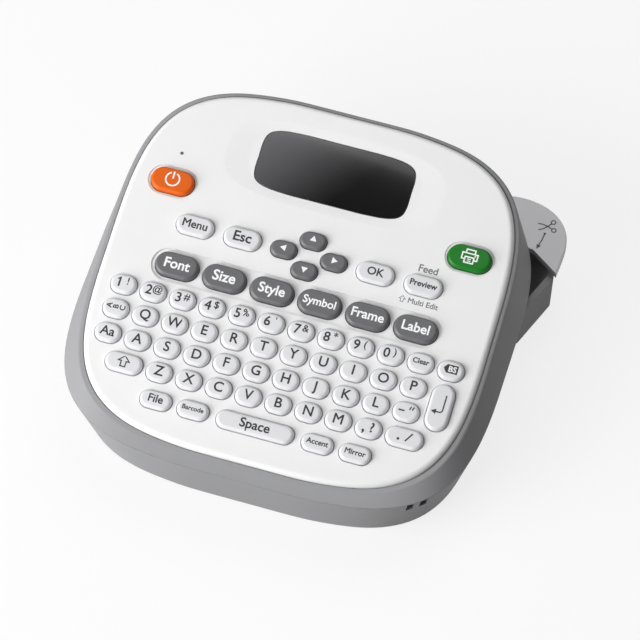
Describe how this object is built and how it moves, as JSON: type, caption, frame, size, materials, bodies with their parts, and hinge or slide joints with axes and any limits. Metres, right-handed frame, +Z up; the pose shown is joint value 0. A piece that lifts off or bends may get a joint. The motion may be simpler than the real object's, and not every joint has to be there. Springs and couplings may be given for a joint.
{
  "type": "label maker",
  "caption": "Desktop label maker with a sloping keyboard panel, a display window, a hinged underside cover over tape and batteries, and a hand cutter lever at the tape exit.",
  "frame": {"origin": "on the table under the middle of the whole object, cutter lever included", "axes": "+X to the right of the user, towards the tape exit; +Y to the back; +Z up"},
  "size_m": [0.162, 0.143, 0.0589],
  "materials": {
    "case_grey": "satin moulded ABS",
    "panel_white": "satin moulded ABS",
    "key_white": "satin moulded ABS",
    "key_grey": "satin moulded ABS",
    "key_orange": "satin moulded ABS",
    "key_green": "satin moulded ABS",
    "window_smoke": "polished acrylic",
    "display_dark": "glass faced module",
    "light_clear": "polished light pipe",
    "rubber_grey": "moulded silicone",
    "board_green": "glass fibre board",
    "steel": "stamped sheet",
    "cell_wrap": "printed steel can",
    "black_plastic": "moulded nylon",
    "lever_smoke": "translucent moulded plastic",
    "gear_white": "moulded acetal",
    "cassette_grey": "moulded ABS",
    "tape_white": "laminated film",
    "ribbon_black": "wound film",
    "aluminium": "extruded"
  },
  "bodies": {
    "body": {"lower_case": "case_grey", "upper_case": "case_grey", "face_panel": "panel_white", "display_window": "window_smoke", "display_module": "display_dark", "status_light": "light_clear", "key_mat": "rubber_grey", "main_board": "board_green", "case_screws": "steel", "rubber_feet": "rubber_grey", "batteries": "cell_wrap", "battery_contacts": "steel", "power_socket": "black_plastic", "cassette_case": "cassette_grey", "label_tape": "tape_white", "chassis": "steel", "drive_motor": "steel", "roller_holder": "black_plastic", "print_head": "aluminium", "fixed_blade": "steel"},
    "cover": {"bottom_cover": "case_grey"},
    "lever": {"cutter_lever": "lever_smoke"},
    "blade": {"moving_blade": "steel"},
    "platen": {"platen_roller": "rubber_grey"},
    "pinion": {"motor_pinion": "gear_white"},
    "idler": {"idler_gear": "gear_white"},
    "ribbon_drive": {"ribbon_spindle": "gear_white", "ribbon_take_up_spool": "ribbon_black"},
    "ribbon_supply": {"ribbon_supply_spool": "ribbon_black"},
    "tape": {"tape_roll": "tape_white"},
    "power_key": {"power_key": "key_orange"},
    "print_key": {"print_key": "key_green"},
    "menu_key": {"menu_key": "key_white"},
    "escape_key": {"escape_key": "key_white"},
    "ok_key": {"ok_key": "key_white"},
    "preview_key": {"preview_key": "key_white"},
    "left_key": {"left_key": "key_grey"},
    "right_key": {"right_key": "key_grey"},
    "up_key": {"up_key": "key_grey"},
    "down_key": {"down_key": "key_grey"},
    "enter_key": {"enter_key": "key_white"},
    "shift_key": {"shift_key": "key_white"},
    "stop_key": {"stop_key": "key_white"},
    "space_key": {"space_key": "key_white"},
    "file_key": {"file_key": "key_white"},
    "barcode_key": {"barcode_key": "key_white"},
    "accent_key": {"accent_key": "key_white"},
    "mirror_key": {"mirror_key": "key_white"},
    "number_row_keys": {"number_row_keys": "key_white"},
    "upper_row_keys": {"upper_row_keys": "key_white"},
    "home_row_keys": {"home_row_keys": "key_white"},
    "lower_row_keys": {"lower_row_keys": "key_white"},
    "font_key": {"font_key": "key_grey"},
    "size_key": {"size_key": "key_grey"},
    "style_key": {"style_key": "key_grey"},
    "symbol_key": {"symbol_key": "key_grey"},
    "frame_key": {"frame_key": "key_grey"},
    "label_key": {"label_key": "key_grey"}
  },
  "joints": [
    {"name": "cover_hinge", "type": "hinge", "parent": "body", "child": "cover", "pos_m": [0, 0.0576, 0.0025], "axis": [1, 0, 0], "range_deg": [0, 90]},
    {"name": "cutter_lever_push", "type": "hinge", "parent": "body", "child": "lever", "pos_m": [0.0348, 0.0616, 0.0228], "axis": [0, 0, -1], "range_deg": [0, 10], "stiffness_Nm_per_rad": 0.5},
    {"name": "idler_spin", "type": "hinge", "parent": "body", "child": "idler", "pos_m": [0.04827, 0.03311, 0.0292], "axis": [0, 0, 1], "continuous": true},
    {"name": "blade_slide", "type": "slide", "parent": "body", "child": "blade", "axis": [0, -1, 0], "range_m": [0, 0.003]},
    {"name": "platen_spin", "type": "hinge", "parent": "body", "child": "platen", "pos_m": [0.0463, 0.0504, 0.0322], "axis": [0, 0, 1], "continuous": true},
    {"name": "pinion_spin", "type": "hinge", "parent": "body", "child": "pinion", "pos_m": [0.0545, 0.01687, 0.0292], "axis": [0, 0, 1], "continuous": true},
    {"name": "ribbon_drive_spin", "type": "hinge", "parent": "body", "child": "ribbon_drive", "pos_m": [0.02757, 0.03311, 0.0292], "axis": [0, 0, 1], "continuous": true},
    {"name": "ribbon_supply_spin", "type": "hinge", "parent": "body", "child": "ribbon_supply", "pos_m": [0.0258, 0.012, 0.0034], "axis": [0, 0, 1], "continuous": true},
    {"name": "tape_roll_spin", "type": "hinge", "parent": "body", "child": "tape", "pos_m": [-0.0142, 0.0272, 0.0034], "axis": [0, 0, 1], "continuous": true},
    {"name": "power_key_press", "type": "slide", "parent": "body", "child": "power_key", "axis": [0, 0.2079, -0.9781], "range_m": [0, 0.0012], "stiffness_N_per_m": 500},
    {"name": "print_key_press", "type": "slide", "parent": "body", "child": "print_key", "axis": [0, 0.2079, -0.9781], "range_m": [0, 0.0012], "stiffness_N_per_m": 500},
    {"name": "enter_key_press", "type": "slide", "parent": "body", "child": "enter_key", "axis": [0, 0.2079, -0.9781], "range_m": [0, 0.0012], "stiffness_N_per_m": 500},
    {"name": "space_key_press", "type": "slide", "parent": "body", "child": "space_key", "axis": [0, 0.2079, -0.9781], "range_m": [0, 0.0012], "stiffness_N_per_m": 500},
    {"name": "number_row_keys_press", "type": "slide", "parent": "body", "child": "number_row_keys", "axis": [0, 0.2079, -0.9781], "range_m": [0, 0.0012], "stiffness_N_per_m": 500},
    {"name": "upper_row_keys_press", "type": "slide", "parent": "body", "child": "upper_row_keys", "axis": [0, 0.2079, -0.9781], "range_m": [0, 0.0012], "stiffness_N_per_m": 500},
    {"name": "home_row_keys_press", "type": "slide", "parent": "body", "child": "home_row_keys", "axis": [0, 0.2079, -0.9781], "range_m": [0, 0.0012], "stiffness_N_per_m": 500},
    {"name": "lower_row_keys_press", "type": "slide", "parent": "body", "child": "lower_row_keys", "axis": [0, 0.2079, -0.9781], "range_m": [0, 0.0012], "stiffness_N_per_m": 500},
    {"name": "menu_key_press", "type": "slide", "parent": "body", "child": "menu_key", "axis": [0, 0.2079, -0.9781], "range_m": [0, 0.0012], "stiffness_N_per_m": 500},
    {"name": "escape_key_press", "type": "slide", "parent": "body", "child": "escape_key", "axis": [0, 0.2079, -0.9781], "range_m": [0, 0.0012], "stiffness_N_per_m": 500},
    {"name": "ok_key_press", "type": "slide", "parent": "body", "child": "ok_key", "axis": [0, 0.2079, -0.9781], "range_m": [0, 0.0012], "stiffness_N_per_m": 500},
    {"name": "preview_key_press", "type": "slide", "parent": "body", "child": "preview_key", "axis": [0, 0.2079, -0.9781], "range_m": [0, 0.0012], "stiffness_N_per_m": 500},
    {"name": "left_key_press", "type": "slide", "parent": "body", "child": "left_key", "axis": [0, 0.2079, -0.9781], "range_m": [0, 0.0012], "stiffness_N_per_m": 500},
    {"name": "right_key_press", "type": "slide", "parent": "body", "child": "right_key", "axis": [0, 0.2079, -0.9781], "range_m": [0, 0.0012], "stiffness_N_per_m": 500},
    {"name": "up_key_press", "type": "slide", "parent": "body", "child": "up_key", "axis": [0, 0.2079, -0.9781], "range_m": [0, 0.0012], "stiffness_N_per_m": 500},
    {"name": "down_key_press", "type": "slide", "parent": "body", "child": "down_key", "axis": [0, 0.2079, -0.9781], "range_m": [0, 0.0012], "stiffness_N_per_m": 500},
    {"name": "shift_key_press", "type": "slide", "parent": "body", "child": "shift_key", "axis": [0, 0.2079, -0.9781], "range_m": [0, 0.0012], "stiffness_N_per_m": 500},
    {"name": "stop_key_press", "type": "slide", "parent": "body", "child": "stop_key", "axis": [0, 0.2079, -0.9781], "range_m": [0, 0.0012], "stiffness_N_per_m": 500},
    {"name": "file_key_press", "type": "slide", "parent": "body", "child": "file_key", "axis": [0, 0.2079, -0.9781], "range_m": [0, 0.0012], "stiffness_N_per_m": 500},
    {"name": "barcode_key_press", "type": "slide", "parent": "body", "child": "barcode_key", "axis": [0, 0.2079, -0.9781], "range_m": [0, 0.0012], "stiffness_N_per_m": 500},
    {"name": "accent_key_press", "type": "slide", "parent": "body", "child": "accent_key", "axis": [0, 0.2079, -0.9781], "range_m": [0, 0.0012], "stiffness_N_per_m": 500},
    {"name": "mirror_key_press", "type": "slide", "parent": "body", "child": "mirror_key", "axis": [0, 0.2079, -0.9781], "range_m": [0, 0.0012], "stiffness_N_per_m": 500},
    {"name": "font_key_press", "type": "slide", "parent": "body", "child": "font_key", "axis": [0, 0.2079, -0.9781], "range_m": [0, 0.0012], "stiffness_N_per_m": 500},
    {"name": "size_key_press", "type": "slide", "parent": "body", "child": "size_key", "axis": [0, 0.2079, -0.9781], "range_m": [0, 0.0012], "stiffness_N_per_m": 500},
    {"name": "style_key_press", "type": "slide", "parent": "body", "child": "style_key", "axis": [0, 0.2079, -0.9781], "range_m": [0, 0.0012], "stiffness_N_per_m": 500},
    {"name": "symbol_key_press", "type": "slide", "parent": "body", "child": "symbol_key", "axis": [0, 0.2079, -0.9781], "range_m": [0, 0.0012], "stiffness_N_per_m": 500},
    {"name": "frame_key_press", "type": "slide", "parent": "body", "child": "frame_key", "axis": [0, 0.2079, -0.9781], "range_m": [0, 0.0012], "stiffness_N_per_m": 500},
    {"name": "label_key_press", "type": "slide", "parent": "body", "child": "label_key", "axis": [0, 0.2079, -0.9781], "range_m": [0, 0.0012], "stiffness_N_per_m": 500}
  ],
  "couplings": [
    {"joint": "blade_slide", "follows": "cutter_lever_push", "m_per_rad": 0.01627},
    {"joint": "platen_spin", "follows": "idler_spin", "ratio": -0.52632},
    {"joint": "pinion_spin", "follows": "idler_spin", "ratio": -2.625},
    {"joint": "ribbon_drive_spin", "follows": "idler_spin", "ratio": -1.5556},
    {"joint": "ribbon_supply_spin", "follows": "idler_spin", "ratio": -1.5556},
    {"joint": "tape_roll_spin", "follows": "idler_spin", "ratio": 0.082237}
  ]
}
